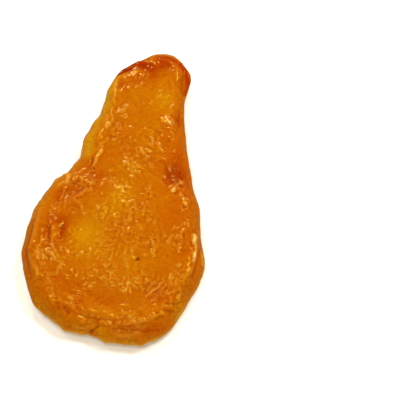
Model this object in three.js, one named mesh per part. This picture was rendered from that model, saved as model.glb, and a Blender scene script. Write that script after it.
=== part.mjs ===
// Half of a dried pear, lying on its skin with the cut face up.
// The half shrank as it dried: its rim is rounded and wavy, the cut face has sunk between
// broad folds, and the skin below is pleated towards the rim. It is one closed body.
// Millimetres, +Z up. +Y points to the stem end, and the skin rests on z = 0.

import * as THREE from 'three';

// ---- driving dimensions ----

const LENGTH = 88; // bottom end to stem end
const WIDTH = 49.4; // across the belly
const BELLY_THICKNESS = 10.4; // cut face above the table, before its folds
const WAIST_THICKNESS = 9.2;
const STEM_THICKNESS = 7.4;

const RIM_HEIGHT = 4.3; // mean height of the line where cut face and skin meet
const RIM_WAVE = 1.0; // how far that line rises and falls
const FACE_WAVE_SHARE = 0.4; // how much of that wave the face beside the rim follows
const FACE_ROUNDING_BELLY = 5.6; // how far in from the rim the face keeps rising
const FACE_ROUNDING_NECK = 5.2;
const SKIN_ROUNDING = 15; // how far in from the rim the skin touches the table
const STEM_LIFT = 1.6; // the stem end curled up off the table

const PLEATS = 23; // shallow pleats of the skin, around the whole rim
const PLEAT_DEPTH = 0.4;

// ---- how finely it is faceted ----

const RIBS = 70; // rows of facets from the stem end to the bottom end
const FACE_COLUMNS = 30; // facets across the cut face
const SKIN_COLUMNS = 20; // facets across the skin
const RIM_SEGMENTS = 360; // straight pieces of the rim line, for measuring distances
const END_BEND = 0.3; // how far the short rows at both ends bend inwards, as a share of their width
const STEM_END_WIDTH = 20; // rows wider than this run straight
const BOTTOM_END_WIDTH = 34;

// ---- the outline of the half, seen from above ----
// Points for a half 88 long and 49.4 wide, clockwise from the middle of the stem end.

const OUTLINE = [
  // stem end, cut square
  [1, 44], [5, 43.8], [8.3, 41.3],
  // right side: neck, waist and belly
  [10.7, 38], [10.8, 33], [10.4, 29.5], [11.5, 24], [13.8, 15], [16, 9], [17.2, 4.3],
  [20, -1], [21, -4.7], [22.4, -11], [24.2, -16], [24.6, -20], [23.8, -25.5], [21.7, -31.6],
  // bottom end, with a shallow notch left of its middle
  [18.8, -37.7], [15.8, -40.8], [11.8, -43.4], [6.8, -43.8], [2.3, -44], [-1.4, -42.8],
  [-5.4, -43.2], [-10.2, -41.7], [-16.1, -38.5], [-20, -34.5],
  // left side: belly, the tuck at the waist, and neck
  [-23.6, -26.6], [-24.7, -20.5], [-24.5, -12.8], [-23.2, -7], [-20.2, -0.4], [-16.4, 4.8],
  [-14.9, 8.5], [-15.4, 12.3], [-13.9, 17.6], [-12.2, 22.6], [-11.9, 29], [-11, 33],
  // corner of the stem end
  [-10, 35.5], [-7, 39], [-2, 42.5],
];

const BELLY_CENTRE = new THREE.Vector3(0, -16, 0); // pleats and rim waves fan out from here
const BELLY_CALM = 6; // the face has no waves within this distance of that centre
const BELLY_WAVY = 24; // and all of them from here outwards

// ---- folds of the cut face ----
// Each runs through its points. Height is up for a ridge and down for a crease, and reach is
// the distance from the line at which it has faded to a third. Folds fade out at both ends.

const FACE_FOLDS = [
  // crest between the bevel and the face, left side of the neck
  { through: [[-8.6, 34], [-9.2, 27], [-10, 19], [-10.2, 12], [-11.6, 5.5]], height: 0.7, reach: 1.5 },
  // crest on the right side of the neck
  { through: [[8.2, 37.5], [8.2, 31], [9, 25], [11, 17], [13.4, 9]], height: 0.2, reach: 1.8 },
  // lip across the stem end
  { through: [[-7, 35.6], [-2, 38.8], [3, 40.2], [7, 38.8]], height: 0.25, reach: 1.7 },
  // rim crest, left side of the belly
  { through: [[-16.4, 1.5], [-20.8, -7], [-22.3, -15], [-21.7, -24], [-18.4, -32]], height: 0.55, reach: 1.8 },
  // crease inside it, from the tuck at the waist
  { through: [[-12.4, 5.5], [-14.2, -2], [-17.2, -8], [-18, -14], [-17.2, -21]], height: -0.7, reach: 1.8 },
  // inner ridge and the crease beside the hollow
  { through: [[-15.4, -6], [-16.6, -13], [-15.2, -20]], height: 0.5, reach: 1.3 },
  { through: [[-13.4, -9], [-13.8, -16], [-12, -23]], height: -0.6, reach: 1.3 },
  // ridge along the right rim and around the bottom
  {
    through: [[20.4, -6], [21.6, -15], [20.6, -24], [17.4, -31.5], [10, -36.4], [1, -37.2], [-8, -35.4]],
    height: 0.6,
    reach: 2,
  },
  // trough inside that ridge
  { through: [[-12, -29.6], [-3, -31.8], [8, -31], [15, -26.5]], height: -0.6, reach: 2.8 },
  // crease between that ridge and the outermost rim
  { through: [[17.6, -36.2], [11, -39.6], [2, -40.2], [-6, -39]], height: -0.4, reach: 1.4 },
  // fold that runs in from the tuck at the waist
  { through: [[-13.5, 3.5], [-9, 1.6], [-3, 0.6]], height: -0.5, reach: 1.6 },
];

// Broad swells and hollows: a bump of this height around its centre, fading over its radii.
const FACE_SWELLS = [
  { centre: [-8, -16], radii: [6, 9], height: -1.0 }, // smooth hollow where the core was
  { centre: [8, -13], radii: [9, 11], height: 0.6 }, // plump side of the belly
  { centre: [0, 19], radii: [7, 15], height: 0.6 }, // crown of the neck
  { centre: [13, 6.5], radii: [3.5, 6], height: -0.7 }, // shrunken patch right of the waist
];

// ---- the rim line ----

const outlineCurve = new THREE.CatmullRomCurve3(
  OUTLINE.map(([x, y]) => new THREE.Vector3(x, y, 0)),
  true,
  'centripetal'
);
outlineCurve.arcLengthDivisions = 2 * RIM_SEGMENTS;

const outlinePoints = outlineCurve.getSpacedPoints(RIM_SEGMENTS);
const outlineBox = new THREE.Box3().setFromPoints(outlinePoints);
const outlineMiddle = outlineBox.getCenter(new THREE.Vector3());
const outlineSize = outlineBox.getSize(new THREE.Vector3());

// centred on the origin and brought to the half's length and width
function toSize(point) {
  const scale = new THREE.Vector3(WIDTH / outlineSize.x, LENGTH / outlineSize.y, 1);
  return point.sub(outlineMiddle).multiply(scale);
}

// a point of the rim: share runs clockwise from 0 at the stem end
function rimPoint(share) {
  return toSize(outlineCurve.getPointAt(share));
}

// where the bottom end is, as a share of the way round
function findBottomShare() {
  const heights = outlinePoints.map((point) => point.y);
  return heights.indexOf(Math.min(...heights)) / RIM_SEGMENTS;
}

// ---- distances, seen from above ----

function toSegments(points) {
  return points.slice(1).map((end, i) => new THREE.Line3(points[i], end));
}

const nearestPoint = new THREE.Vector3();

// how far the line is, and how far along it the nearest place lies, from 0 to 1
function nearestOn(segments, point) {
  let distance = Infinity;
  let share = 0;
  segments.forEach((segment, i) => {
    const along = segment.closestPointToPointParameter(point, true);
    const away = segment.at(along, nearestPoint).distanceTo(point);
    if (away < distance) {
      distance = away;
      share = (i + along) / segments.length;
    }
  });
  return { distance, share };
}

const rimSegments = toSegments(
  Array.from({ length: RIM_SEGMENTS + 1 }, (_, i) => rimPoint(i / RIM_SEGMENTS))
);

function distanceToRim(point) {
  return nearestOn(rimSegments, point).distance;
}

const foldLines = FACE_FOLDS.map(({ through, height, reach }) => {
  const curve = new THREE.CatmullRomCurve3(through.map(([x, y]) => new THREE.Vector3(x, y, 0)));
  return { segments: toSegments(curve.getPoints(5 * through.length)), height, reach };
});

// ---- heights ----

// 0 at the rim, 1 from `reach` inwards, upright at the rim and level further in
function roundedRise(distance, reach) {
  const left = 1 - Math.min(distance / reach, 1);
  return Math.sqrt(1 - left * left);
}

// 0 on the belly, 1 on the neck
function neckShare(y) {
  return THREE.MathUtils.smoothstep(y, -8, 18);
}

function stemLift(y) {
  const start = 6;
  const share = Math.max(y - start, 0) / (LENGTH / 2 - start);
  return STEM_LIFT * share * share;
}

// direction from the middle of the belly
function turnOf(point) {
  return Math.atan2(point.y - BELLY_CENTRE.y, point.x - BELLY_CENTRE.x);
}

function rimHeight(point) {
  const turn = turnOf(point);
  const waves = Math.sin(2 * turn + 0.6) + 0.6 * Math.sin(5 * turn + 2.1) + 0.3 * Math.sin(9 * turn + 4);
  return RIM_HEIGHT + (RIM_WAVE / 1.9) * waves;
}

const thicknessCurve = new THREE.SplineCurve([
  new THREE.Vector2(-LENGTH / 2, BELLY_THICKNESS - 1),
  new THREE.Vector2(-LENGTH / 4, BELLY_THICKNESS),
  new THREE.Vector2(0, (BELLY_THICKNESS + WAIST_THICKNESS) / 2),
  new THREE.Vector2(LENGTH / 4, WAIST_THICKNESS - 0.5),
  new THREE.Vector2(LENGTH / 2, STEM_THICKNESS),
]);

// the curve's points are evenly spaced along the length, so its parameter is the share of it
function thickness(y) {
  return thicknessCurve.getPoint(THREE.MathUtils.clamp(y / LENGTH + 0.5, 0, 1)).y;
}

function foldHeight(point) {
  let height = 0;
  for (const fold of foldLines) {
    const { distance, share } = nearestOn(fold.segments, point);
    const away = distance / fold.reach;
    const taper = Math.sqrt(Math.sin(Math.PI * share));
    height += fold.height * taper * Math.exp(-away * away);
  }
  for (const swell of FACE_SWELLS) {
    const x = (point.x - swell.centre[0]) / swell.radii[0];
    const y = (point.y - swell.centre[1]) / swell.radii[1];
    height += swell.height * Math.exp(-(x * x + y * y));
  }
  return height;
}

function faceHeight(point) {
  const rounding = THREE.MathUtils.lerp(FACE_ROUNDING_BELLY, FACE_ROUNDING_NECK, neckShare(point.y));
  const rise = roundedRise(distanceToRim(point), rounding);
  const base = rimHeight(point);
  const outwards = THREE.MathUtils.smoothstep(point.distanceTo(BELLY_CENTRE), BELLY_CALM, BELLY_WAVY);
  const wave = FACE_WAVE_SHARE * outwards * (base - RIM_HEIGHT);
  const top = thickness(point.y) + wave + foldHeight(point);
  return base + (top - base) * rise + stemLift(point.y);
}

function skinHeight(point) {
  const above = 1 - roundedRise(distanceToRim(point), SKIN_ROUNDING);
  const turn = turnOf(point);
  const pleat = 1 + Math.cos(PLEATS * turn + 2.5 * Math.sin(3 * turn));
  const pleatShare = THREE.MathUtils.smoothstep(above, 0, 0.12) * (1 - above);
  return rimHeight(point) * above + PLEAT_DEPTH * pleatShare * pleat + stemLift(point.y);
}

// ---- the closed body ----
// Ribs run across the half from its left rim to its right rim, face above and skin below.
// Face and skin share the rim's corners, and the first and last ribs shrink to one corner.
// Short ribs bend away from their end, so that they clear the notch in the bottom outline.

// crowds the corners of a rib towards both rims, where the surface turns over
function acrossShare(column, columns) {
  return (1 - Math.cos((Math.PI * column) / columns)) / 2;
}

function ribPoint(left, right, share) {
  const width = left.distanceTo(right);
  const isStemEnd = left.y + right.y > 0;
  const fade = 1 - THREE.MathUtils.smoothstep(width, 0, isStemEnd ? STEM_END_WIDTH : BOTTOM_END_WIDTH);
  const bend = END_BEND * width * fade * Math.sin(Math.PI * share);
  const point = left.clone().lerp(right, share);
  point.y += isStemEnd ? -bend : bend;
  return point;
}

function makePearHalf() {
  const bottomShare = findBottomShare();
  const positions = [];
  const rings = [];

  function addCorner(point, height) {
    positions.push(point.x, point.y, height(point));
    return positions.length / 3 - 1;
  }

  const rimCornerHeight = (point) => rimHeight(point) + stemLift(point.y);

  // the corners between the rims, from left to right
  function addInner(left, right, columns, height) {
    return Array.from({ length: columns - 1 }, (_, i) =>
      addCorner(ribPoint(left, right, acrossShare(i + 1, columns)), height)
    );
  }

  for (let rib = 1; rib < RIBS; rib++) {
    const right = rimPoint((bottomShare * rib) / RIBS);
    const left = rimPoint(1 - ((1 - bottomShare) * rib) / RIBS);
    rings.push([
      addCorner(left, rimCornerHeight),
      ...addInner(left, right, FACE_COLUMNS, faceHeight),
      addCorner(right, rimCornerHeight),
      ...addInner(left, right, SKIN_COLUMNS, skinHeight).reverse(),
    ]);
  }

  const stemEnd = addCorner(rimPoint(0), rimCornerHeight);
  const bottomEnd = addCorner(rimPoint(bottomShare), rimCornerHeight);
  const around = FACE_COLUMNS + SKIN_COLUMNS;
  const indices = [];
  for (let i = 0; i < around; i++) {
    const next = (i + 1) % around;
    indices.push(stemEnd, rings[0][i], rings[0][next]);
    for (let rib = 0; rib < rings.length - 1; rib++) {
      const upper = rings[rib];
      const lower = rings[rib + 1];
      indices.push(upper[i], lower[i], upper[next]);
      indices.push(upper[next], lower[i], lower[next]);
    }
    indices.push(bottomEnd, rings[rings.length - 1][next], rings[rings.length - 1][i]);
  }

  const geometry = new THREE.BufferGeometry();
  geometry.setAttribute('position', new THREE.Float32BufferAttribute(positions, 3));
  geometry.setIndex(indices);
  geometry.computeVertexNormals();
  return geometry;
}

// ---- dried flesh: amber, tacky and slightly glossy ----

const driedFlesh = new THREE.MeshStandardMaterial({ color: 0xd2730a, roughness: 0.36, metalness: 0 });

const driedPear = new THREE.Mesh(makePearHalf(), driedFlesh);
driedPear.name = 'dried_pear';

const model = new THREE.Group();
model.add(driedPear);

export default model;
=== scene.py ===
from math import cos, pi, radians, sin

import bmesh
import bpy
import numpy as np
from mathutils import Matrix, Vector, noise


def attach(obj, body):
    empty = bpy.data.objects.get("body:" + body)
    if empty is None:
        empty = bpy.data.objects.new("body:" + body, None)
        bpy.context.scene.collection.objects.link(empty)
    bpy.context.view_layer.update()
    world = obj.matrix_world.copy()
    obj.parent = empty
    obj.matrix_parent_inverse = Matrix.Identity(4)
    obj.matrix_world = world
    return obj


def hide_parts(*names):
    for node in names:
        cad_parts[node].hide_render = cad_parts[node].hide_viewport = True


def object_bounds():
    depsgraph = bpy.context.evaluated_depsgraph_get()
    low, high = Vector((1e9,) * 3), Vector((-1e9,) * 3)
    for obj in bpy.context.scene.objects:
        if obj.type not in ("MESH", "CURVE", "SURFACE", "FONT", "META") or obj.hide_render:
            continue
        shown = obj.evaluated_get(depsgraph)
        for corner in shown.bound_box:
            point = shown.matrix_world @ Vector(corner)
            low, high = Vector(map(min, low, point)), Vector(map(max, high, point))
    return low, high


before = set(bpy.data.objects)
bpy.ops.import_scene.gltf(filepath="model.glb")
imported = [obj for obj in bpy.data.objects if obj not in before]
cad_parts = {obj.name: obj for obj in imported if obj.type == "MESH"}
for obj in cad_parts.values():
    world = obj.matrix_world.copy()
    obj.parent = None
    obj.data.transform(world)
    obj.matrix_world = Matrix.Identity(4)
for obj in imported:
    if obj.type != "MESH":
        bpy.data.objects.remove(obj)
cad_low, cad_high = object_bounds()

# ---- Camera -------------------------------------------------------------------------------
# A long lens looks down on the cut face from the bottom end and a little from the right.
# It aims past the half's right side, so the half lies left of the middle of the view.

MM = 0.001
half_middle = (cad_low + cad_high) / 2
half_length = cad_high.y - cad_low.y
half_width = cad_high.x - cad_low.x

CAMERA_TURN = 10  # degrees from the bottom end towards the right
CAMERA_HEIGHT = 66  # degrees above the table
CAMERA_DISTANCE = 4.162  # in lengths of the half
AIM_RIGHT = 0.406  # from the half's middle, in its widths
AIM_BACK = 0.006  # in its lengths


def way_to(turn, height):
    """The way to something turned so far from the bottom end and so far up, both in degrees."""
    turn = radians(turn)
    height = radians(height)
    return Vector((sin(turn) * cos(height), -cos(turn) * cos(height), sin(height)))


camera_aim = half_middle + Vector((AIM_RIGHT * half_width, AIM_BACK * half_length, 0))
way_to_camera = way_to(CAMERA_TURN, CAMERA_HEIGHT)
camera = bpy.data.objects.new("camera", bpy.data.cameras.new("camera"))
camera.data.lens = 120
camera.data.sensor_width = 36
camera.data.clip_start = 10 * MM
camera.data.clip_end = 5
camera.location = camera_aim + way_to_camera * CAMERA_DISTANCE * half_length
camera.rotation_euler = way_to_camera.to_track_quat("Z", "Y").to_euler()
bpy.context.scene.collection.objects.link(camera)
bpy.context.scene.camera = camera

# ---- Dried pear half ----------------------------------------------------------------------
# A pear cut lengthwise, cored and dried until it is leathery. Flesh and skin are one piece
# that shrank onto itself: the cut face sank into folds and the skin pulled into pleats.
# It lies loose on its skin. All its places are millimetres in the half's own frame.

rng = np.random.default_rng(11)
noise.seed_set(11)

# The body: the half's own solid, rounded and covered with an even net of small faces.

NET_SPACING = 0.295
SETTLE_SHARE = 0.6  # how far a point moves to the middle of its neighbours in one round
BROAD_ROUNDS = 14  # enough to take out the net's steps

body = bmesh.new()
body.from_mesh(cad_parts["dried_pear"].data)
bmesh.ops.remove_doubles(body, verts=body.verts, dist=1e-6)
bmesh.ops.scale(body, vec=(1 / MM,) * 3, verts=body.verts)
pear = bpy.data.objects.new("pear_half", bpy.data.meshes.new("pear_half"))
body.to_mesh(pear.data)
body.free()
bpy.context.scene.collection.objects.link(pear)

rounding = pear.modifiers.new("rounding", "SUBSURF")
rounding.levels = 2
rounding.render_levels = 2
net = pear.modifiers.new("net", "REMESH")
net.mode = "VOXEL"
net.voxel_size = NET_SPACING
shaped = pear.evaluated_get(bpy.context.evaluated_depsgraph_get())
rounded = bpy.data.meshes.new_from_object(shaped)
pear.modifiers.clear()
pear.data = rounded
rounded.name = "pear_half"


def read_points(mesh):
    """The places of all the mesh's points, one row each."""
    points = np.empty(3 * len(mesh.vertices), np.float32)
    mesh.vertices.foreach_get("co", points)
    return points.reshape(-1, 3).astype(float)


edges = np.empty(2 * len(rounded.edges), np.int32)
rounded.edges.foreach_get("vertices", edges)
edges = edges.reshape(-1, 2)
neighbours = np.bincount(edges.ravel())


def mean_of_neighbours(values):
    """For each point, the mean of the values at the points that share an edge with it."""
    total = np.zeros_like(values)
    for one, other in ((0, 1), (1, 0)):
        for axis in range(values.shape[1]):
            carried = values[edges[:, other], axis]
            total[:, axis] += np.bincount(edges[:, one], carried, minlength=len(values))
    return total / neighbours[:, None]


def relax(values, rounds):
    """The values, evened out between neighbours this many times."""
    for _ in range(rounds):
        values = values + SETTLE_SHARE * (mean_of_neighbours(values) - values)
    return values


def normals_at(points):
    """Which way the surface faces at each point, once its points lie at these places."""
    rounded.vertices.foreach_set("co", points.astype(np.float32).ravel())
    rounded.update()
    normals = np.empty(3 * len(points), np.float32)
    rounded.vertices.foreach_get("normal", normals)
    return normals.reshape(-1, 3).astype(float)


def ramp(values, low, high):
    """0 below low, 1 above high, smooth between."""
    share = np.clip((values - low) / (high - low), 0, 1)
    return share * share * (3 - 2 * share)


def fading(distance, reach):
    """1 at no distance, about a third at the reach, and soon nothing past it."""
    return np.exp(-((distance / reach) ** 2))


surface = relax(read_points(rounded), BROAD_ROUNDS)
normals = normals_at(surface)

# The rim shrank unevenly: it swells and draws in by parts of a millimetre.
# (place on the rim, reach, how far outwards)
RIM_SWELLS = [
    ((-10, 36.5), 2.5, 0.50),  # stem end, then down the right side
    ((-0.5, 44), 2.5, 0.32),
    ((10.5, 38), 3.0, 0.30),
    ((24, -23), 2.0, -0.10),
    ((22.5, -27.5), 3.2, -0.36),
    ((20.5, -33.5), 3.2, -0.42),
    ((17, -39.5), 2.5, -0.26),
    ((14, -42), 1.8, -0.50),  # bottom
    ((10, -43.5), 1.6, -0.55),
    ((6, -43.5), 3.0, -0.35),
    ((1.5, -43.5), 1.8, -0.30),
    ((-1.5, -43), 1.2, -0.10),
    ((-3.5, -42.5), 1.4, -0.65),
    ((-6, -42.5), 1.8, -0.50),
    ((-9.5, -42), 1.4, 0.20),
    ((-13, -40), 2.4, -0.30),
    ((-18, -37), 2.2, 0.40),
    ((-23, -28.5), 2.5, 0.20),  # up the left side
    ((-24.5, -23.5), 2.6, 0.55),
    ((-24.5, -16), 3.6, 0.30),
    ((-24, -10), 2.2, 0.50),
    ((-22.5, -5.5), 2.6, 0.28),
    ((-20.5, -1), 1.6, 0.35),
    ((-17.5, 2.5), 1.4, -0.25),
    ((-16.5, 5.5), 1.8, 0.60),
    ((-15.5, 9), 2.6, 0.60),
    ((-14.5, 14), 2.0, 0.45),
    ((-13.5, 19), 2.0, 0.75),
    ((-12.5, 24), 2.6, 0.50),
    ((-12, 30), 2.2, 0.48),
    ((-11.5, 33), 2.0, 0.22),
]
UPRIGHT_COST = 9  # points that face up or down count as this much further off than the rim's

push = np.zeros((len(surface), 2))
push_weights = np.zeros(len(surface))
for rim_place, reach, amount in RIM_SWELLS:
    distance = np.linalg.norm(surface[:, :2] - rim_place, axis=1)
    nearest = np.argmin(distance + UPRIGHT_COST * abs(normals[:, 2]))
    outwards = normals[nearest, :2] / np.linalg.norm(normals[nearest, :2])
    weights = fading(distance, reach)
    push += np.outer(amount * weights, outwards)
    push_weights += weights
surface[:, :2] += push / np.maximum(push_weights, 1)[:, None]

face_share = ramp(normals[:, 2], -0.05, 0.45)  # 1 on the cut face, 0 on the skin
smooth_surface = surface.copy()
seen_from_above = smooth_surface[:, :2]


def in_patch(centre, radii):
    """1 in the middle of an oval patch seen from above, fading out past its radii."""
    offset = (seen_from_above - centre) / radii
    return np.exp(-(offset**2).sum(1))


PATH_MARGIN = 5  # points further than this from a path count as endlessly far


def along_path(path):
    """How far each point is from a path seen from above, and how far along the path, 0 to 1."""
    path = np.array(path, float)
    for _ in range(3):  # corners are cut three times, which bends the path smoothly
        first_cuts = 0.75 * path[:-1] + 0.25 * path[1:]
        second_cuts = 0.25 * path[:-1] + 0.75 * path[1:]
        cut = np.stack([first_cuts, second_cuts], 1)
        path = np.concatenate([path[:1], cut.reshape(-1, 2), path[-1:]])
    past_start = seen_from_above > path.min(0) - PATH_MARGIN
    before_end = seen_from_above < path.max(0) + PATH_MARGIN
    around = (past_start & before_end).all(1).nonzero()[0]
    near_points = seen_from_above[around]
    nearest = np.full(len(around), np.inf)
    share = np.zeros(len(around))
    for i, (start, end) in enumerate(zip(path[:-1], path[1:])):
        step = end - start
        part = np.clip((near_points - start) @ step / (step @ step), 0, 1)
        distance = np.linalg.norm(near_points - start - part[:, None] * step, axis=1)
        closer = distance < nearest
        nearest[closer] = distance[closer]
        share[closer] = (i + part[closer]) / (len(path) - 1)
    all_nearest = np.full(len(surface), np.inf)
    all_shares = np.zeros(len(surface))
    all_nearest[around] = nearest
    all_shares[around] = share
    return all_nearest, all_shares


def band(path, reach):
    """1 along a path, fading out to both sides."""
    return fading(along_path(path)[0], reach)


# Folds of the cut face: (path, height or depth, reach). A ridge is round and a crease is sharp.

RIDGES = [
    # stem end and neck
    ([(-9.5, 32.5), (-9.5, 30), (-9, 28), (-9, 25.5), (-8.5, 24)], 0.30, 0.55),
    ([(-9, 22.5), (-8.5, 20), (-8, 18), (-8.5, 16.5), (-9.5, 15.5)], 0.24, 0.45),
    ([(6.5, 39), (7, 37), (7.5, 34.5)], 0.25, 0.50),
    ([(-5.5, 35), (-5, 33.5)], 0.18, 0.40),
    ([(-4.5, 34), (-4, 32.5)], 0.18, 0.40),
    ([(-2.5, 35), (-2.5, 33.5)], 0.18, 0.40),
    ([(-7, 23), (-6, 21.5), (-5.5, 22)], 0.20, 0.40),
    ([(-5.5, 21), (-5.5, 20)], 0.20, 0.40),
    ([(-4.5, 21.5), (-4.5, 20)], 0.20, 0.40),
    ([(2, 27), (1.5, 25)], 0.18, 0.42),
    ([(6.5, 22.5), (7.5, 22)], 0.22, 0.42),
    ([(5.5, 21.5), (6.5, 20.5)], 0.22, 0.42),
    ([(7, 20), (8, 21.5), (9, 22)], 0.24, 0.42),
    ([(9, 19.5), (10, 18.5)], 0.20, 0.42),
    ([(9, 18), (10, 17)], 0.18, 0.42),
    ([(10.5, 25), (11, 23.5)], 0.20, 0.45),
    ([(3.5, 15.5), (4.5, 14)], 0.24, 0.45),
    ([(1.5, 11.5), (2, 10.5), (3, 9.5)], 0.28, 0.42),
    ([(3, 11.5), (4.5, 10.5)], 0.22, 0.42),
    ([(5.5, 13.5), (6.5, 12.5), (8, 11)], 0.20, 0.42),
    ([(-9, 9.5), (-10, 7), (-10, 5.5), (-10.5, 3.5)], 0.42, 0.50),
    # waist
    ([(-2, 8), (-1, 6.5), (-0.5, 5)], 0.28, 0.42),
    ([(0, 6), (1, 5)], 0.24, 0.42),
    ([(1.5, 6.5), (2.5, 5)], 0.28, 0.42),
    ([(1, 4.5), (3, 4)], 0.24, 0.42),
    ([(0, 2.5), (1.5, 2.5)], 0.20, 0.42),
    ([(-3.5, -1.5), (-2, -1.5), (-0.5, -1), (1.5, -1)], 0.26, 0.42),
    ([(-1, -1.5), (-0.5, -3)], 0.28, 0.42),
    ([(-0.5, -5.5), (0.5, -5.5), (0.5, -5)], 0.26, 0.42),
    ([(5.5, -0.5), (6, -2)], 0.24, 0.42),
    ([(12.5, -0.5), (13, 1), (13.5, 2.5), (15, 4)], 0.28, 0.45),
    ([(14, 1.5), (14.5, 0.5)], 0.20, 0.40),
    ([(15, 1.5), (15.5, 0.5)], 0.20, 0.40),
    ([(17, -1), (16, -2.5), (16, -4.5)], 0.26, 0.42),
    ([(17, -1.5), (18, -2.5)], 0.22, 0.42),
    ([(16, -5.5), (17.5, -4)], 0.22, 0.42),
    # left of the waist
    ([(-14, -3), (-12.5, -1.5), (-12, -1)], 0.24, 0.42),
    ([(-11, -1), (-9.5, -1.5), (-8.5, -1.5)], 0.20, 0.40),
    ([(-10, -1.5), (-9.5, -3), (-9, -4)], 0.20, 0.40),
    ([(-13, -6.5), (-12, -5.5), (-11, -4), (-10.5, -3)], 0.24, 0.42),
    ([(-16.5, -3.5), (-16.5, -6), (-17, -8)], 0.34, 0.45),
    ([(-17.5, 1), (-16.5, 0), (-16, -2.5)], 0.34, 0.60),
    ([(-13.5, -7), (-12.5, -7.5)], 0.24, 0.42),
    ([(-13, -11), (-12, -10.5)], 0.24, 0.42),
    # belly, left
    ([(-21.5, -10.5), (-22, -14.5), (-21.5, -18.5), (-22, -22), (-22.5, -23.5)], 0.30, 0.80),
    ([(-22.5, -23), (-21.5, -25), (-20.5, -27), (-18.5, -29), (-18, -31.5)], 0.30, 0.80),
    ([(-19.5, -19), (-19, -21), (-19.5, -22.5)], 0.24, 0.42),
    ([(-18.5, -18), (-18, -20)], 0.24, 0.42),
    ([(-16.5, -17.5), (-16.5, -20), (-16, -22), (-15, -23), (-13.5, -25)], 0.26, 0.42),
    ([(-17.5, -23.5), (-16.5, -23.5), (-15.5, -24.5), (-14.5, -25)], 0.32, 0.45),
    ([(-13, -21), (-11.5, -23), (-11, -24)], 0.20, 0.42),
    ([(-13, -15.5), (-12, -17)], 0.20, 0.42),
    ([(-12, -26), (-13, -27), (-13, -28), (-13.5, -29)], 0.26, 0.42),
    ([(-15.5, -29), (-15, -31)], 0.20, 0.42),
    # belly, middle
    ([(-4, -9), (-4, -10)], 0.22, 0.42),
    ([(-5, -11.5), (-4.5, -11), (-4, -11)], 0.24, 0.42),
    ([(2.5, -4.5), (2.5, -5.5)], 0.24, 0.42),
    ([(5, -5.5), (6, -6), (6.5, -7)], 0.22, 0.42),
    ([(2.5, -9.5), (3, -10.5), (2.5, -11.5)], 0.28, 0.42),
    ([(7.5, -10.5), (8.5, -9.5)], 0.22, 0.42),
    ([(10, -15.5), (10.5, -17.5)], 0.26, 0.42),
    ([(10.5, -15.5), (11, -18.5)], 0.22, 0.42),
    ([(10, -18), (11.5, -20)], 0.24, 0.42),
    ([(0.5, -20.5), (0, -22)], 0.22, 0.42),
    ([(-2, -28.5), (-0.5, -27.5)], 0.28, 0.42),
    ([(1, -29), (2, -29)], 0.26, 0.42),
    ([(10.5, -26), (10.5, -28)], 0.22, 0.42),
    # belly, right
    ([(15, -13), (14.5, -14.5), (14, -16)], 0.26, 0.42),
    ([(17, -16.5), (18, -18)], 0.26, 0.42),
    ([(17, -11.5), (17.5, -14)], 0.26, 0.42),
    ([(18.5, -20.5), (18, -22)], 0.26, 0.42),
    ([(20.5, -11), (21, -13.5)], 0.34, 0.50),
    ([(21.5, -14), (22, -16.5), (22, -18)], 0.24, 0.40),
    ([(23, -14.5), (24, -17.5), (24, -19.5)], 0.30, 0.45),
    ([(21.5, -21), (21.5, -22.5), (21, -24)], 0.30, 0.50),
    ([(20.5, -24.5), (19.5, -23.5)], 0.26, 0.45),
    ([(18.5, -25), (19, -26), (18, -27)], 0.30, 0.45),
    ([(19.5, -27), (20, -28.5), (19.5, -30.5)], 0.28, 0.45),
    ([(15.5, -26), (14.5, -27), (14, -28.5)], 0.26, 0.42),
    ([(16, -26.5), (15.5, -28), (14.5, -29.5)], 0.22, 0.42),
    ([(13.5, -28.5), (12.5, -29.5), (11, -31)], 0.28, 0.42),
    # bottom
    ([(6, -37.5), (6.5, -37), (7.5, -36.5)], 0.24, 0.42),
    ([(10, -37.5), (11, -37.5), (12, -37)], 0.26, 0.42),
    ([(15.5, -35), (17, -34.5)], 0.26, 0.42),
    ([(17, -33), (17.5, -32.5), (18.5, -32)], 0.30, 0.45),
    ([(14.5, -35.5), (14, -36.5), (13, -37.5)], 0.26, 0.60),
    ([(0.5, -39.5), (2, -40), (4, -40)], 0.24, 0.45),
    ([(4.5, -39.5), (7, -39.5), (11, -38), (13.5, -37.5)], 0.26, 0.55),
    ([(-6.5, -41.5), (-4.5, -41.5), (-0.5, -41.5)], 0.24, 0.45),
    ([(4.5, -42.5), (7.5, -42), (10.5, -42)], 0.20, 0.50),
    ([(2, -43), (6, -43.5), (8.5, -43)], 0.20, 0.45),
]
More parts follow.
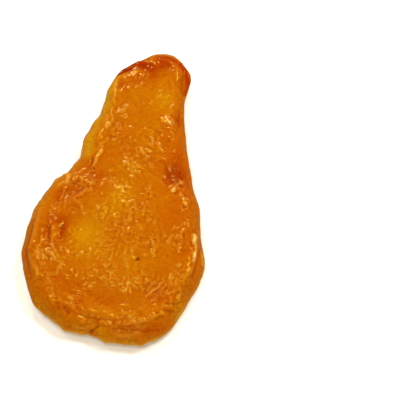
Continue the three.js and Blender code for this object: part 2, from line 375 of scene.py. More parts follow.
CREASES = [
    ([(7.4, 41), (8.9, 37.6), (9.0, 34), (10.0, 30.6)], 0.40, 0.7),  # flap of the stem end
    ([(-9.4, 33.9), (-8.0, 35.0), (-6.4, 35.6), (-4.6, 36.4), (-2, 36.6)], 0.18, 0.50),
    ([(1.2, 39.4), (2.6, 39.4), (3.8, 39.2), (5.0, 38.8)], 0.30, 0.5),
    ([(4.8, 38.0), (5.4, 37.4)], 0.30, 0.5),
    ([(-11.4, 7), (-10.9, 5), (-10.2, 2.6)], 0.35, 0.6),
    ([(-16.0, -1.2), (-12.5, -3.4), (-10.2, -2.4)], 0.35, 0.6),  # left of the waist
    ([(-13.8, -5.0), (-12.0, -4.2), (-10.9, -3.2)], 0.30, 0.5),
    ([(-17.9, -15.6), (-17.7, -18.2), (-17.3, -21)], 0.30, 0.5),  # belly, left
    ([(-14.4, -13.6), (-14.6, -16), (-14.4, -19.5)], 0.30, 0.6),
    ([(-22.9, -14), (-22.8, -19), (-23.4, -23.4), (-22.2, -26.4), (-19.6, -31.5)], 0.45, 0.5),
    ([(-12.6, -35.4), (-8.6, -38.2), (-3, -39.4), (2, -39.1), (7, -38.6)], 0.20, 0.6),  # bottom
    ([(-9.9, -37.8), (-7.6, -39.2)], 0.35, 0.5),
    ([(4, -40.9), (8.7, -40.6), (12.6, -40.4), (16.2, -38.6)], 0.25, 0.6),
    ([(-1.9, -43.2), (-1.5, -42.0), (0.6, -41.0)], 0.50, 0.6),  # notch
    ([(22.9, -13.0), (23.0, -16), (22.9, -19.6), (22.2, -24)], 0.40, 0.5),  # outer bulge, right
    ([(9.6, 26), (10.2, 23), (10.6, 20)], 0.35, 0.6),
    ([(8.4, 9), (9.8, 5.5), (10.2, 1.5)], 0.10, 0.7),
]
RIDGE_SHARE = 0.75  # of the listed height
# A ridge listed as high as this gets a full painted highlight on its crest.
CREST_HIGHLIGHT_HEIGHT = 0.3  # a ridge listed as this high has a fully pale crest
BLISTERS = 90  # tiny round bumps anywhere on the face
BLISTER_HEIGHTS = (0.14, 0.22)
BLISTER_REACH = 0.40

crease_share = np.zeros(len(surface))
crest_highlight_share = np.zeros(len(surface))
fold_height = np.zeros(len(surface))
for path, height, reach in RIDGES:
    distance, share = along_path(path)
    middle = np.sin(pi * share).clip(0)
    fold_height += RIDGE_SHARE * height * np.sqrt(middle) * fading(distance, reach)
    crest = height / CREST_HIGHLIGHT_HEIGHT * middle * fading(distance, 0.5 * reach)
    crest_highlight_share = np.maximum(crest_highlight_share, crest)
for path, depth, reach in CREASES:
    distance, share = along_path(path)
    sunk = np.sqrt(np.sin(pi * share).clip(0)) * np.exp(-distance / reach)
    fold_height -= depth * sunk
    crease_share = np.maximum(crease_share, sunk)
for start in rng.choice(len(surface), BLISTERS, p=face_share / face_share.sum()):
    fold_height += rng.uniform(*BLISTER_HEIGHTS) * in_patch(seen_from_above[start], BLISTER_REACH)
crease_share *= face_share
surface += normals * (fold_height * face_share)[:, None]

# Wrinkles: short low crests where the drying surface shrank, most of them in clusters that
# share a heading. Between them the surface is finely crumpled, like cling film.

CELL_SIZE = 4.0  # the surface's points are sorted into cells, so that near ones are found quickly
cells = {}
for number, cell in enumerate(map(tuple, np.floor(surface / CELL_SIZE).astype(int))):
    cells.setdefault(cell, []).append(number)
cells = {cell: np.array(members) for cell, members in cells.items()}


def points_near(centre):
    """The numbers of all points in the cell of this place and in the cells around it."""
    x, y, z = np.floor(centre / CELL_SIZE).astype(int)
    steps = (-1, 0, 1)
    around = [(x + i, y + j, z + k) for i in steps for j in steps for k in steps]
    return np.concatenate([cells[cell] for cell in around if cell in cells])


MOST_BOW = 0.5  # how far a wrinkle may bend aside, as a share of its length
BOW_SHIFT = 0.3  # keeps a bent wrinkle about its own middle
SAME_SIDE = 0.3  # keeps a wrinkle off the other side of the rim

wrinkle_height = np.zeros(len(surface))


def add_wrinkle(start, angle, length, width, height):
    """One crest through the point numbered start, along a heading seen from above."""
    centre = smooth_surface[start]
    up = normals[start]
    crest_way = np.array([cos(angle), sin(angle), 0.0])
    crest_way -= up * (crest_way @ up)
    crest_way /= np.linalg.norm(crest_way)
    across_way = np.cross(up, crest_way)
    members = points_near(centre)
    members = members[normals[members] @ up > SAME_SIDE]
    offset = smooth_surface[members] - centre
    along = offset @ crest_way / length
    bow = rng.uniform(-MOST_BOW, MOST_BOW) * length
    across = (offset @ across_way + bow * (along**2 - BOW_SHIFT)) / width
    crest = height * (1 - along**2).clip(0) ** 1.5 * np.exp(-(across**2))
    wrinkle_height[members] += crest


# (centre, radii, wrinkles, heading in degrees, spread of headings, height)
WRINKLED_PATCHES = [
    ((-4.2, 34.4), (2.0, 1.2), 12, 85, 30, 0.10),  # stem end and neck
    ((0.0, 31.0), (7.0, 6.0), 30, 100, 35, 0.10),
    ((-9.4, 27.0), (0.8, 5.0), 14, 95, 15, 0.14),
    ((-5.5, 22.5), (1.6, 2.4), 16, 118, 25, 0.16),
    ((8.0, 21.8), (2.0, 1.6), 16, 150, 25, 0.18),
    ((8.6, 17.6), (1.6, 2.6), 16, 135, 20, 0.15),
    ((3.5, 16.0), (4.5, 4.5), 36, 136, 18, 0.14),
    ((-6.5, 14.5), (2.4, 4.0), 26, 65, 25, 0.14),
    ((2.0, 9.5), (6.0, 4.0), 40, 142, 18, 0.15),
    ((-10.2, 9.0), (1.2, 5.0), 20, 80, 15, 0.15),
    ((1.0, 5.6), (3.4, 1.6), 22, 144, 15, 0.18),  # waist
    ((12.8, 5.4), (2.4, 2.4), 24, 100, 35, 0.16),
    ((13.4, 1.8), (1.4, 2.2), 14, 70, 20, 0.18),
    ((17.0, -2.0), (1.4, 2.0), 14, 65, 15, 0.18),
    ((-16.6, 1.6), (1.6, 2.6), 14, 58, 15, 0.14),
    ((-12.0, -1.6), (3.4, 2.4), 36, 50, 15, 0.16),
    ((0.0, -3.5), (2.6, 3.0), 20, 100, 35, 0.14),
    ((6.0, -1.5), (2.4, 2.0), 12, 120, 30, 0.13),
    ((-12.6, -8.0), (2.6, 3.6), 26, 55, 30, 0.15),  # belly
    ((-17.8, -10.0), (1.6, 4.0), 22, 75, 20, 0.15),
    ((-18.4, -17.5), (1.6, 4.0), 20, 100, 12, 0.15),
    ((-15.0, -20.0), (1.6, 3.4), 16, 120, 15, 0.14),
    ((-15.4, -23.2), (2.2, 1.2), 18, 145, 15, 0.20),
    ((-12.6, -25.0), (2.0, 2.0), 14, 100, 30, 0.16),
    ((-4.6, -9.6), (1.6, 2.6), 14, 75, 25, 0.19),
    ((5.5, -8.0), (3.2, 3.0), 28, 115, 25, 0.14),
    ((1.0, -12.0), (4.0, 4.0), 26, 100, 35, 0.15),
    ((9.8, -16.0), (2.0, 3.2), 24, 103, 12, 0.18),
    ((5.6, -15.0), (3.4, 3.6), 24, 108, 20, 0.15),
    ((16.2, -15.0), (2.0, 3.4), 24, 60, 40, 0.16),
    ((18.6, -8.0), (1.4, 3.0), 16, 100, 30, 0.15),
    ((-2.6, -18.5), (2.8, 3.6), 22, 50, 40, 0.16),
    ((0.5, -27.0), (5.0, 1.8), 24, 165, 25, 0.14),
    ((9.4, -26.5), (3.0, 2.4), 24, 95, 25, 0.15),
    ((13.6, -29.0), (2.8, 2.4), 28, 50, 15, 0.18),
    ((21.6, -15.0), (0.9, 5.0), 20, 97, 10, 0.16),  # right rim
    ((20.6, -24.5), (1.4, 3.6), 20, 70, 15, 0.20),
    ((17.5, -32.5), (2.6, 2.4), 22, 25, 20, 0.18),  # bottom
    ((7.0, -36.5), (7.0, 1.6), 34, 12, 15, 0.15),
    ((-5.5, -33.5), (3.4, 3.4), 26, 120, 40, 0.13),
    ((-16.0, -31.0), (4.0, 5.0), 34, 125, 20, 0.14),
    ((-18.5, -32.5), (1.6, 3.0), 18, 130, 15, 0.12),
    ((-13.5, -36.5), (3.0, 1.6), 22, 145, 15, 0.13),
    ((-8.5, -38.0), (3.0, 1.4), 18, 155, 15, 0.13),
    ((3.0, -41.0), (12.0, 1.4), 46, 8, 12, 0.13),
    ((13.5, -39.0), (3.0, 1.4), 14, 35, 15, 0.13),
    ((-8.0, -22.0), (3.6, 1.8), 14, 75, 30, 0.15),  # below the hollow
]
CROWDING = 1.2  # wrinkles for each one listed
SPREAD_SHARE = 0.6  # of the listed spread
HEIGHT_SHARE = 0.48  # of the listed height
LEAST_CRINKLE = 0.15  # fine strokes where there is no patch
CRINKLE_FROM = 0.06  # listed height of wrinkles without fine strokes around them
CRINKLE_RANGE = 0.12  # how much higher they are where the strokes are at their strongest

heading_sum = np.zeros((len(surface), 2))
crinkle = LEAST_CRINKLE * face_share
for centre, radii, wrinkles, heading, spread, height in WRINKLED_PATCHES:
    weights = in_patch(centre, radii) * face_share
    heading_sum += np.outer(weights, [cos(2 * radians(heading)), sin(2 * radians(heading))])
    crinkle = np.maximum(crinkle, weights * (height - CRINKLE_FROM) / CRINKLE_RANGE)
    for start in rng.choice(len(surface), int(CROWDING * wrinkles), p=weights / weights.sum()):
        add_wrinkle(
            start,
            radians(heading + SPREAD_SHARE * rng.normal(0, spread)),
            length=rng.uniform(0.7, 2.0),
            width=rng.uniform(0.37, 0.50),
            height=HEIGHT_SHARE * height * rng.uniform(0.5, 1.4),
        )

# Everywhere else the face has shallow wrinkles with no heading of their own.
LOOSE_WRINKLES = 300

for start in rng.choice(len(surface), LOOSE_WRINKLES, p=face_share / face_share.sum()):
    add_wrinkle(
        start,
        rng.uniform(0, pi),
        length=rng.uniform(1.0, 3.0),
        width=rng.uniform(0.30, 0.60),
        height=rng.uniform(-0.07, 0.07),
    )

# Pleats of the skin: long wrinkles that run from the belly towards the stem end and the bottom.
SKIN_PLEATS = 420
PLEAT_MIDDLE = -8  # where along the half they part
PLEAT_REACH = 24  # they fan out from a place this far beyond that middle

skin_weights = 1 - face_share
skin_weights /= skin_weights.sum()
for start in rng.choice(len(surface), SKIN_PLEATS, p=skin_weights):
    x, y = seen_from_above[start]
    y -= PLEAT_MIDDLE
    add_wrinkle(
        start,
        np.arctan2(np.copysign(PLEAT_REACH + abs(y), y), 1.1 * x) + rng.normal(0, 0.2),
        length=rng.uniform(2.0, 4.5),
        width=rng.uniform(0.5, 1.1),
        height=rng.uniform(-0.35, 0.40),
    )

# The crumpled film is ridged noise in a bent space, drawn out along the half, and the lumps
# are softer and larger.
LUMP_HEIGHT = 0.11
LUMP_SIZE = 4.5
FILM_HEIGHT = 0.02
FILM_SIZE = 1.3
FINE_FILM_SIZE = 0.7
FILM_BEND = 0.9
FILM_BEND_SIZE = 2.6
FILM_STRETCH = 0.6

film = np.empty(len(surface))
lumps = np.empty(len(surface))
for number, point in enumerate(smooth_surface):
    point = Vector(point)
    bent = point + FILM_BEND * noise.noise_vector(point / FILM_BEND_SIZE)
    bent.y *= FILM_STRETCH
    coarse = 1 - 2 * abs(noise.noise(bent / FILM_SIZE))
    film[number] = coarse - abs(noise.noise(bent / FINE_FILM_SIZE))
    lumps[number] = noise.fractal(point / LUMP_SIZE, 1.0, 2.0, 3)
film -= film.mean()
wrinkle_height += FILM_HEIGHT * film

# The hollow where the core was stayed smoother, and so did the rim. The whole surface is
# slightly lumpy besides.
HOLLOW_CALM = 0.6  # how much of the wrinkles is missing there
RIM_CALM = 0.6
LUMP_CALM = 0.5

smooth_hollow = in_patch((-8, -16), (4.5, 6.5))
rim_share = fading(normals[:, 2], 0.35)  # 1 where the surface turns over
wrinkle_height *= (1 - HOLLOW_CALM * smooth_hollow) * (1 - RIM_CALM * rim_share)
surface += normals * wrinkle_height[:, None]
surface += normals * (LUMP_HEIGHT * lumps * (1 - LUMP_CALM * smooth_hollow))[:, None]

# Taut spots: small areas that dried flat at a slope of their own, and catch the light.
# (centre, radii, slope along x, slope along y)
TAUT_SPOTS = [
    ((-5.0, 34.4), (1.0, 0.9), 0.20, -0.20),  # neck
    ((-5.8, 22.2), (0.9, 1.0), 0.20, -0.20),
    ((7.4, 21.2), (2.0, 1.4), -0.26, 0.13),
    ((10.0, 26.7), (0.4, 0.4), -0.26, 0.13),
    ((13.0, 0.6), (1.3, 1.4), -0.26, 0.13),  # waist
    ((14.4, 3.0), (1.3, 0.9), -0.26, 0.13),
    ((16.6, -2.8), (1.0, 1.8), -0.26, 0.13),
    ((1.9, 5.5), (0.8, 0.7), -0.26, 0.13),
    ((2.6, -10.2), (0.4, 0.9), -0.26, 0.13),  # belly
    ((-15.8, -24.1), (0.8, 0.6), 0.20, -0.20),
    ((-1.2, -28.0), (0.8, 0.4), -0.04, 0.34),
    ((20.6, -13.2), (0.8, 1.8), -0.26, 0.13),  # right rim
    ((21.7, -18.0), (0.7, 1.7), -0.26, 0.13),
    ((20.2, -24.2), (1.2, 0.8), -0.26, 0.13),
    ((18.6, -25.8), (0.7, 1.2), -0.26, 0.13),
    ((19.4, -29.4), (0.7, 1.2), -0.26, 0.13),
    ((17.7, -32.5), (1.2, 0.8), -0.26, 0.13),
    ((-8.2, 31.6), (1.8, 2.4), 0.32, 0.05),  # tilted out of the light
    ((-3.4, 38.2), (2.6, 1.3), -0.05, 0.02),
    ((-12.6, 1.8), (1.2, 1.2), 0.00, -0.02),
]
FLATTENING = 0.8  # how much of the relief is gone in the middle of a spot
LEAST_SHARE = 0.02  # where a spot ends

for centre, radii, slope_x, slope_y in TAUT_SPOTS:
    offset = seen_from_above - centre
    flat_part = np.exp(-((offset / radii) ** 2).sum(1) ** 2) * face_share
    inside = flat_part > LEAST_SHARE
    plane = np.column_stack([offset[inside], np.ones(inside.sum())])
    share = flat_part[inside]
    fitted = np.linalg.lstsq(plane * share[:, None], surface[inside, 2] * share, rcond=None)[0]
    relief = surface[inside, 2] - plane @ fitted
    turned = plane @ [slope_x - fitted[0], slope_y - fitted[1], 0]
    surface[inside, 2] += share * (turned - FLATTENING * relief)

surface[:, 2] = surface[:, 2].clip(0)  # nothing goes into the table


def store(name, values):
    """Keeps one number for each point, which the material reads by this name."""
    layer = rounded.attributes.new(name, "FLOAT", "POINT")
    layer.data.foreach_set("value", np.asarray(values, np.float32))


# How far each point lies below the surface around it: valleys positive, crests negative.
FINE_ROUNDS = 3  # enough to take out only the finest relief

normals = normals_at(surface)
valley = ((relax(surface, BROAD_ROUNDS) - surface) * normals).sum(1)
fine_valley = ((relax(surface, FINE_ROUNDS) - surface) * normals).sum(1)

# Colour areas: yellow where the flesh is thin and clear, red where it is deep and folded, with
# painted shade in creases and valleys, pale where it is drawn tight, with painted highlights and
# painted light on the rims, and brown where it went dark at the stem end.

# (centre, radii, how much redder)
RED_PATCHES = [
    ((0.4, 35.4), (2.0, 2.4), 1.10),  # stem end and neck
    ((2.6, 39.4), (3.2, 2.4), 1.80),
    ((-3.6, 34.0), (2.2, 1.6), 0.30),
    ((9.6, 22.2), (1.6, 2.2), 0.90),
    ((7.6, 18.0), (1.6, 1.6), 0.35),
    ((11.0, 15.0), (2.4, 7.0), 0.30),
    ((5.0, 28.0), (3.8, 5.0), -0.70),
    ((-3.0, 27.0), (5.0, 4.0), -0.30),
    ((-7.6, 30.4), (2.0, 2.0), 0.70),
    ((-3.6, 32.6), (2.0, 1.2), 0.25),
    ((9.4, 34.0), (1.6, 2.4), 0.45),
    ((1.8, 17.0), (3.6, 8.0), -0.28),
    ((8.6, 14.4), (1.8, 2.2), 0.35),
    ((12.2, 10.6), (2.2, 3.2), 0.75),
    ((12.4, 5.2), (3.0, 3.2), 2.00),  # waist
    ((13.0, 2.0), (3.2, 3.0), 0.35),
    ((-8.8, 1.8), (2.4, 1.8), 0.60),
    ((-13.8, -4.0), (2.2, 1.8), 0.60),
    ((-11.4, 4.0), (1.4, 2.0), 0.40),
    ((-15.4, 2.0), (2.0, 1.8), 0.35),
    ((-8.4, -2.0), (2.0, 2.0), 0.25),
    ((-17.4, -6.0), (3.2, 2.6), 0.75),
    ((-10.6, 0.8), (3.0, 1.6), 0.30),
    ((-17.0, -22.0), (1.8, 1.8), 0.25),
    ((16.4, -1.4), (1.8, 2.6), 0.35),
    ((4.4, -6.8), (2.2, 3.2), 0.25),
    ((0.5, 5.2), (3.6, 2.2), -0.25),
    ((-1.0, -4.0), (4.6, 4.6), -0.65),
    ((-12.0, -9.0), (2.6, 3.4), 0.35),  # belly
    ((-18.5, -17.4), (1.0, 2.8), 0.90),
    ((-14.2, -17.0), (1.2, 3.0), 1.20),
    ((-16.0, -13.5), (2.6, 1.8), 0.95),
    ((-20.2, -12.0), (1.8, 4.0), 0.30),
    ((-10.4, -16.0), (2.6, 4.2), -0.45),
    ((-7.4, -16.0), (4.0, 6.4), -0.80),
    ((-2.4, -9.6), (4.6, 3.0), -0.35),
    ((-3.6, -20.0), (3.0, 3.6), -0.35),
    ((4.5, -23.0), (4.5, 3.5), -0.40),
    ((16.4, -5.6), (3.4, 6.0), 0.45),
    ((19.4, -17.0), (2.0, 5.0), 0.35),
    ((18.0, -15.4), (2.6, 3.4), 0.22),
    ((15.6, -30.4), (3.0, 2.6), 0.90),
    ((20.4, -32.0), (2.0, 3.2), -0.75),
    ((16.0, -29.6), (1.6, 1.6), -0.35),
    ((-17.6, -26.0), (3.0, 2.2), 0.40),
    ((-13.0, -31.0), (5.0, 3.6), 0.30),
    ((-11.0, -37.6), (2.0, 0.9), 0.60),  # bottom
    ((0.4, -34.4), (2.8, 1.4), 0.45),
    ((-6.0, -35.8), (2.8, 2.8), 0.38),
    ((15.0, -41.4), (2.6, 1.6), -0.50),
    ((1.0, -41.8), (2.0, 1.2), -0.75),
    ((6.0, -37.6), (3.0, 1.2), -0.20),
    ((-1.0, -42.6), (1.4, 0.8), 0.80),
]
# (path, reach, how much redder)
RED_BANDS = [
    ([(-13, -30), (-3, -32), (9, -31.5), (16, -27)], 2.2, 0.18),
    ([(3.5, -41.2), (8.7, -40.4), (12.6, -40.2), (16.2, -38.2)], 1.1, 0.55),
    ([(-24.0, -15), (-24.4, -20), (-22.8, -27), (-19.5, -33)], 0.9, 0.10),
    ([(-17.0, -36.5), (-13.2, -39.4), (-9.6, -41.4)], 0.8, -0.50),
    ([(-6.0, -42.0), (0.0, -41.8)], 0.7, -0.40),
    ([(1.0, -43.4), (5.0, -42.9), (10.0, -42.6)], 0.8, -0.50),
    # Yellower along the left side of the neck and the upper left rim: partly the paler colour
    # there, partly painted light on the steep sides.
    ([(-10.6, 33), (-10.9, 26), (-12, 20), (-13.4, 13), (-13.0, 8)], 1.9, -1.10),
    ([(-15.5, 4.5), (-18.6, -1.0), (-20.6, -6), (-22.6, -12)], 1.8, -0.45),
]
# (path, reach, how pale): paler flesh along the rims, partly painted light there, and painted
# highlights on the right rim and on the crests
PALE_AND_HIGHLIGHT_BANDS = [
    ([(-14.9, 13.9), (-15.2, 11.5), (-15.0, 9.6), (-15.0, 7.0)], 0.5, 0.45),
    ([(-16.3, 4.0), (-17.0, 0.9), (-18.6, 0.0), (-20.1, -1.4), (-21.4, -3.9)], 0.5, 0.38),
    ([(-21.2, -5.2), (-23.0, -8.2), (-23.8, -11.0), (-23.6, -14.0)], 0.5, 0.14),
    ([(-16.7, 0.8), (-16.4, -2.2)], 0.7, 0.35),
    # The right rim's pale streaks and the crests below are painted highlights.
    ([(20.6, -11.8), (20.8, -13.0), (21.0, -14.0)], 0.42, 0.68),
    ([(21.2, -11.0), (21.4, -14.5), (21.9, -17.0)], 0.18, 0.55),
    ([(21.8, -17.0), (21.9, -18.2), (21.7, -19.2)], 0.36, 0.70),
    ([(23.6, -16.0), (24.1, -19.0)], 0.22, 0.35),
    ([(-9.5, 32.0), (-9.5, 30.0), (-9.2, 28.5)], 0.28, 0.40),  # crests, down the face
    ([(6.4, 22.3), (7.1, 21.4), (8.0, 20.6)], 0.36, 0.82),
    ([(5.4, 21.8), (6.0, 21.2)], 0.24, 0.45),
    ([(7.6, 22.4), (9.0, 21.0)], 0.22, 0.35),
    ([(12.5, 0.0), (12.8, 0.8)], 0.42, 0.70),
    ([(13.4, 2.2), (14.6, 3.2)], 0.28, 0.45),
    ([(-9.0, 9.5), (-10.0, 7.0), (-10.0, 5.5), (-10.5, 4.0)], 0.25, 0.40),
    ([(3.5, 15.5), (4.5, 14.0)], 0.22, 0.45),
    ([(1.5, 11.5), (2.0, 10.5), (3.0, 9.5)], 0.26, 0.45),
    ([(3.0, 11.5), (4.5, 10.5)], 0.22, 0.35),
    ([(2.5, 9.5), (4.5, 9.2)], 0.24, 0.40),
    ([(-3.5, -1.5), (-2.0, -1.5), (-0.5, -1.0), (1.5, -1.0)], 0.18, 0.35),
    ([(-1.0, -1.5), (-0.5, -3.0)], 0.22, 0.40),
    ([(-0.5, -5.5), (0.5, -5.5)], 0.22, 0.35),
    ([(-17.0, -23.5), (-16.0, -23.5), (-14.5, -25.0)], 0.28, 0.45),
    ([(12.0, -30.0), (13.0, -29.0), (14.0, -28.0)], 0.22, 0.35),
]
# (centre, radii, how brown)
STAIN_PATCHES = [
    ((-3.6, 37.9), (3.0, 1.8), 0.80),
    ((-0.2, 36.8), (2.2, 1.6), 0.60),
    ((10.7, 31.8), (0.7, 0.9), 0.75),
    ((2.8, 39.4), (2.2, 1.2), 0.50),
]
# (path, reach, how brown)
STAIN_BANDS = [
    ([(-9.6, 34.4), (-7.2, 36.0), (-4.8, 37.0)], 0.45, 1.20),
    ([(-8.4, 36.2), (-7.4, 37.2), (-5.4, 38.8), (-3.6, 40.0)], 0.50, 1.15),
    ([(7.4, 40.4), (9.4, 38.2), (10.6, 35), (10.9, 31.6)], 1.1, 0.62),
    ([(1.0, 41.2), (3.4, 41.8), (6.0, 41.0)], 0.8, 0.65),
    ([(2.0, 39.8), (4.6, 39.4)], 0.6, 0.50),
]

# The skin is yellower and paler: partly its own duller colour, partly painted light on steep sides
# that face away from the lamps.
SKIN_TONE_AND_PAINTED_LIGHT = -0.75
CREASE_REDNESS_AND_SHADE = 0.5
VALLEY_REDNESS_AND_SHADE = 1.8  # for each millimetre of depth
FINE_VALLEY_REDNESS_AND_SHADE = 3

redness = SKIN_TONE_AND_PAINTED_LIGHT * (1 - face_share)
for centre, radii, amount in RED_PATCHES:
    redness += amount * in_patch(centre, radii)
for path, reach, amount in RED_BANDS:
    redness += amount * band(path, reach)
# Redder and darker in creases and valleys: partly the flesh's deeper colour, partly painted shade.
redness += CREASE_REDNESS_AND_SHADE * crease_share
redness += VALLEY_REDNESS_AND_SHADE * valley.clip(-0.15, 0.25)
redness += FINE_VALLEY_REDNESS_AND_SHADE * fine_valley.clip(-0.04, 0.06)

stain = np.zeros(len(surface))
for centre, radii, amount in STAIN_PATCHES:
    stain += amount * in_patch(centre, radii)
for path, reach, amount in STAIN_BANDS:
    stain = np.maximum(stain, amount * band(path, reach))
stain *= 0.4 + 0.6 * face_share  # fainter on the skin

# Which way the finest strokes run at each point, as a share of three directions. Headings are
# doubled before they are added up, because a stroke has no front or back.
STROKE_ANGLES = (0, 60, 120)
LOOSE_HEADING = 1.85  # where no wrinkles lead the strokes, in radians
LOOSE_DRIFT = 1.6
LOOSE_DRIFT_SIZE = 9
LOOSE_WEIGHT = 0.25

drift = np.array([noise.noise(Vector(point) / LOOSE_DRIFT_SIZE) for point in smooth_surface])
loose_heading = 2 * (LOOSE_HEADING + LOOSE_DRIFT * drift)
heading_sum += LOOSE_WEIGHT * np.stack([np.cos(loose_heading), np.sin(loose_heading)], 1)
heading_sum /= np.linalg.norm(heading_sum, axis=1)[:, None]
for angle in STROKE_ANGLES:
    match = heading_sum @ [cos(2 * radians(angle)), sin(2 * radians(angle))]
    store(f"strokes_{angle}", crinkle * (1 - HOLLOW_CALM * smooth_hollow) * ((1 + match) / 2) ** 2)

# Specks: a bit of dark pip skin stuck to the belly, and tiny brown dots.
SPECKS = 40
PIP_SKIN_DARKNESS = 1.2

specks = PIP_SKIN_DARKNESS * in_patch((7.2, -21.5), (0.50, 0.45)) * face_share
for start in rng.choice(len(surface), SPECKS, p=face_share / face_share.sum()):
    distance = np.linalg.norm(smooth_surface - smooth_surface[start], axis=1)
    reach = rng.uniform(0.22, 0.4)
    specks = np.maximum(specks, rng.uniform(0.10, 0.30) * fading(distance, reach))

# Pale flesh with painted light: the skin, the listed bands with their painted highlights, and a
# trace of painted highlight along every ridge.
SKIN_PALENESS_AND_PAINTED_LIGHT = 0.25
CREST_HIGHLIGHT_PAINT = 0.12

# Paler skin: partly its own colour, partly painted light on its steep sides.
pale = SKIN_PALENESS_AND_PAINTED_LIGHT * (1 - face_share)
for path, reach, amount in PALE_AND_HIGHLIGHT_BANDS:
    pale = np.maximum(pale, amount * band(path, reach))
pale = np.maximum(pale, CREST_HIGHLIGHT_PAINT * crest_highlight_share.clip(0, 1) * face_share)

store("redness", redness)
store("stain", stain)
store("pale", pale)
store("specks", specks)
store("fine_valley", 10 * fine_valley)  # in tenths of a millimetre
rounded.vertices.foreach_set("co", (surface * MM).astype(np.float32).ravel())
rounded.update()
rounded.shade_smooth()

# Flesh: amber and translucent, with a tacky shine. Light goes in and comes out warmer.

flesh = bpy.data.materials.new("dried pear flesh")
flesh.use_nodes = True
nodes = flesh.node_tree.nodes
shader = nodes["Principled BSDF"]


def add_node(kind, **settings):
    """A new node. A setting fills the socket of that name, or else the node's own option."""
    node = nodes.new(kind)
    for name, value in settings.items():
        if name in node.inputs:
            node.inputs[name].default_value = value
        else:
            setattr(node, name, value)
    return node


def join(output, socket):
    """Leads one node's output to another's socket."""
    flesh.node_tree.links.new(output, socket)


def math_node(operation, first, second):
    """What an operation makes of two values, each a number or another node's output."""
    node = add_node("ShaderNodeMath", operation=operation)
    for socket, value in zip(node.inputs, (first, second)):
        if isinstance(value, (int, float)):
            socket.default_value = value
        else:
            join(value, socket)
    return node.outputs[0]


def read(name):
    """What was stored for each point by this name."""
    return add_node("ShaderNodeAttribute", attribute_name=name).outputs["Fac"]


def colour_ramp(factor, stops):
    """Goes through these colours as the factor passes their positions."""
    node = add_node("ShaderNodeValToRGB")
    elements = node.color_ramp.elements
    while len(elements) < len(stops):
        elements.new(0.5)
    for element, (position, colour) in zip(elements, stops):
        element.position = position
        element.color = (*colour, 1)
    join(factor, node.inputs["Fac"])
    return node.outputs["Color"]


def mix_colours(factor, first, second):
    """The first colour where the factor is 0, and the second where it is 1."""
    node = add_node("ShaderNodeMix", data_type="RGBA")
    join(factor, node.inputs["Factor"])
    join(first, node.inputs["A"])
    if isinstance(second, tuple):
        node.inputs["B"].default_value = (*second, 1)
    else:
        join(second, node.inputs["B"])
    return node.outputs["Result"]


def rising(value, low, high, top=1.0, **settings):
    """0 up to the low value and top from the high one on, rising between them."""
    node = add_node("ShaderNodeMapRange", **settings)
    join(value, node.inputs["Value"])
    node.inputs["From Min"].default_value = low
    node.inputs["From Max"].default_value = high
    node.inputs["To Max"].default_value = top
    return node.outputs["Result"]


position = add_node("ShaderNodeTexCoord").outputs["Object"]
in_mm = add_node("ShaderNodeVectorMath", operation="SCALE", Scale=1 / MM)
join(position, in_mm.inputs[0])
position_mm = in_mm.outputs[0]


def blotches(size, detail, roughness=0.6):
    """Soft spots of this size in millimetres, 0 to 1."""
    scale = 1 / (size * MM)
    node = add_node("ShaderNodeTexNoise", Scale=scale, Detail=detail, Roughness=roughness)
    join(position, node.inputs["Vector"])
    return node.outputs["Fac"]


def mottling(amount, size, detail, roughness=0.6):
    """The same spots, from minus to plus half of the amount."""
    about_zero = math_node("SUBTRACT", blotches(size, detail, roughness), 0.5)
    return math_node("MULTIPLY", about_zero, amount)


# The finest strokes and the pores are too small for the mesh.
STROKE_LENGTH = 1.4  # millimetres
STROKE_WIDTH = 0.46
STROKE_DEPTH = 1.0
PORE_SHARE = 0.05  # of the bump's height
BUMP_HEIGHT = 0.17 * MM

bump_height = 0.0
streaks = 0.0
for angle in STROKE_ANGLES:
    drawn_out = add_node(
        "ShaderNodeMapping",
        Rotation=(0, 0, radians(-angle)),
        Scale=(1 / STROKE_LENGTH, 1 / STROKE_WIDTH, 1 / STROKE_DEPTH),
    )
    join(position_mm, drawn_out.inputs["Vector"])
    grain = add_node("ShaderNodeTexNoise", Scale=1, Detail=1, Roughness=0.4)
    join(drawn_out.outputs["Vector"], grain.inputs["Vector"])
    grain = grain.outputs["Fac"]
    here = read(f"strokes_{angle}")
    raised = rising(grain, 0.50, 0.72, top=0.50, interpolation_type="SMOOTHSTEP")
    bump_height = math_node("ADD", bump_height, math_node("MULTIPLY", raised, here))
    streak = math_node("SUBTRACT", grain, 0.5)
    streaks = math_node("ADD", streaks, math_node("MULTIPLY", streak, here))
pores = math_node("MULTIPLY", blotches(0.5, 1, 0.5), PORE_SHARE)
bump_height = math_node("ADD", bump_height, pores)

bump = add_node("ShaderNodeBump", Strength=1.0, Distance=BUMP_HEIGHT)
join(bump_height, bump.inputs["Height"])
join(bump.outputs["Normal"], shader.inputs["Normal"])

# The flesh's colour, from clear yellow to deep red, with painted light and shade in it.
CLOUDS = 1.1
GRIT = 1.8
STREAK_LIGHT_AND_SHADE = 2.0
TONE_RANGE = 0.36
TONE_MIDDLE = 0.42

tone = math_node("ADD", read("redness"), mottling(CLOUDS, 7, 4))
tone = math_node("ADD", tone, mottling(GRIT, 0.5, 3, 0.7))
# Lighter where the fine strokes stand up and darker between them: painted light and shade.
tone = math_node("SUBTRACT", tone, math_node("MULTIPLY", streaks, STREAK_LIGHT_AND_SHADE))
tone = math_node("ADD", math_node("MULTIPLY", tone, TONE_RANGE), TONE_MIDDLE)
colour = colour_ramp(
    tone,
    [
        (0.00, (0.470, 0.210, 0.0015)),
        (0.25, (0.410, 0.126, 0.0006)),
        (0.45, (0.385, 0.093, 0.0004)),
        (0.65, (0.355, 0.067, 0.0003)),
        (0.85, (0.310, 0.043, 0.0003)),
        (1.00, (0.255, 0.026, 0.0003)),
    ],
)

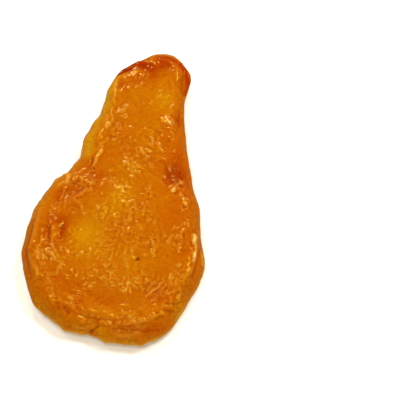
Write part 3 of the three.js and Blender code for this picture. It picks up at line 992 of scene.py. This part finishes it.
# Pale crests are whitish: partly flesh drawn tight, partly painted highlight. The bottoms of fine
# wrinkles are darker, as painted shade.
PAINTED_STREAK_SHADE = -1.6
PAINTED_WRINKLE_SHADE = (0.18, 0.028, 0.0001)

pale_and_highlight_colour = colour_ramp(
    read("pale"),
    [
        (0.45, (0.62, 0.34, 0.05)),
        (0.80, (0.76, 0.52, 0.26)),
    ],
)
colour = mix_colours(read("pale"), colour, pale_and_highlight_colour)
depth = math_node("ADD", math_node("MULTIPLY", streaks, PAINTED_STREAK_SHADE), read("fine_valley"))
colour = mix_colours(rising(depth, -0.10, 0.60, top=0.60), colour, PAINTED_WRINKLE_SHADE)

# The brown stain has a ragged edge, and the specks lie on top of everything.
RAGGEDNESS = 0.6
PIP_BROWN = (0.10, 0.008, 0.002)

stain_depth = math_node("ADD", read("stain"), mottling(RAGGEDNESS, 2.2, 4, 0.65))
stained = colour_ramp(
    stain_depth,
    [
        (0.20, (0.320, 0.042, 0.0003)),
        (0.75, (0.270, 0.021, 0.0003)),
        (1.00, (0.150, 0.007, 0.0003)),
    ],
)
colour = mix_colours(rising(stain_depth, 0.22, 0.55), colour, stained)
colour = mix_colours(read("specks"), colour, PIP_BROWN)
join(colour, shader.inputs["Base Color"])

# The shine is tacky: smooth nearly everywhere, and a little duller in spots.
LEAST_DULLNESS = 0.07
DULLNESS_RANGE = 0.14

dull_spots = math_node("MULTIPLY", blotches(3, 3), DULLNESS_RANGE)
join(math_node("ADD", dull_spots, LEAST_DULLNESS), shader.inputs["Roughness"])

shader.inputs["Subsurface Weight"].default_value = 0.55
shader.inputs["Subsurface Radius"].default_value = (1.0, 0.30, 0.06)
shader.inputs["Subsurface Scale"].default_value = 1.8 * MM
shader.inputs["IOR"].default_value = 1.3
shader.inputs["Specular IOR Level"].default_value = 0.52
shader.inputs["Specular Tint"].default_value = (1.0, 0.82, 0.08, 1)

rounded.materials.clear()
rounded.materials.append(flesh)
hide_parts("dried_pear")
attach(pear, "root")

# ---- Table and studio ---------------------------------------------------------------------
# A plain white table top that the half lies on, with soft panels of light round about and
# above it. The room is pale and warm, and fills the shadows.

TABLE_HALF = 4.0

corners = [(x * TABLE_HALF, y * TABLE_HALF, 0) for x, y in ((-1, -1), (1, -1), (1, 1), (-1, 1))]
table_top = bpy.data.objects.new("table_top", bpy.data.meshes.new("table_top"))
table_top.data.from_pydata(corners, [], [(0, 1, 2, 3)])
bpy.context.scene.collection.objects.link(table_top)
paper = bpy.data.materials.new("white paper")
paper.use_nodes = True
paper_shader = paper.node_tree.nodes["Principled BSDF"]
paper_shader.inputs["Base Color"].default_value = (0.9, 0.9, 0.9, 1)
paper_shader.inputs["Roughness"].default_value = 0.9
paper_shader.inputs["Specular IOR Level"].default_value = 0.1
table_top.data.materials.append(paper)
table_top.visible_glossy = False

# (name, turn from the bottom end, height above the table, distance, sides, power)
PANELS = [
    ("panel_left", -152, 37, 0.45, (0.065, 0.13), 0.70),
    ("panel_right", 113, 64, 0.45, (0.13, 0.08), 1.00),
    ("panel_above", 0, 76, 0.45, (0.10, 0.065), 0.52),
    ("panel_back", 165, 41, 0.45, (0.08, 0.065), 0.45),
    ("panel_top_left", -107, 70, 0.45, (0.075, 0.09), 0.40),
    ("panel_front", 8, 42, 0.50, (0.30, 0.30), 0.82),
]
for name, turn, height, distance, sides, power in PANELS:
    panel = bpy.data.objects.new(name, bpy.data.lights.new(name, "AREA"))
    panel.data.shape = "RECTANGLE"
    panel.data.size, panel.data.size_y = sides
    panel.data.energy = power
    way_to_panel = way_to(turn, height)
    panel.location = half_middle + way_to_panel * distance
    panel.rotation_euler = way_to_panel.to_track_quat("Z", "Y").to_euler()
    bpy.context.scene.collection.objects.link(panel)

room = bpy.data.worlds.new("pale room")
room.use_nodes = True
room.node_tree.nodes["Background"].inputs["Color"].default_value = (1, 0.80, 0.30, 1)
room.node_tree.nodes["Background"].inputs["Strength"].default_value = 0.37
bpy.context.scene.world = room
bpy.context.scene.view_settings.view_transform = "Standard"
